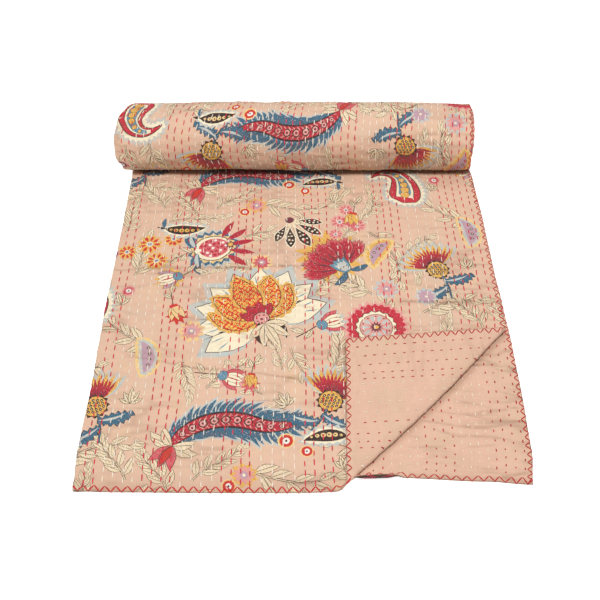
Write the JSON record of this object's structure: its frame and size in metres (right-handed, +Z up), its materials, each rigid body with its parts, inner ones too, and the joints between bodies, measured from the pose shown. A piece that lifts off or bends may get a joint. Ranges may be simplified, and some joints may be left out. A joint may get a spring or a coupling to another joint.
{
  "type": "kantha quilt",
  "caption": "Hand-stitched cotton quilt, folded lengthwise with its print outside, far end rolled up on top and a front corner turned back to show the plain back.",
  "frame": {"origin": "on the surface that the quilt lies on, under the middle of its box", "axes": "+X across the folded quilt from its lengthwise fold to its long edges, +Y from the front hem to the roll, +Z up"},
  "size_m": [0.7824, 0.895, 0.148],
  "materials": {
    "printed_cotton": "soft plain weave, printed in red, teal, mustard and black on a blush ground, puckered by rows of running stitch",
    "plain_cotton": "soft plain weave, dyed blush, puckered by rows of running stitch",
    "red_thread": "matt twisted cotton thread",
    "cream_thread": "matt twisted cotton thread"
  },
  "bodies": {
    "root": {"face_cloth": "printed_cotton", "back_cloth": "plain_cotton"}
  },
  "joints": []
}
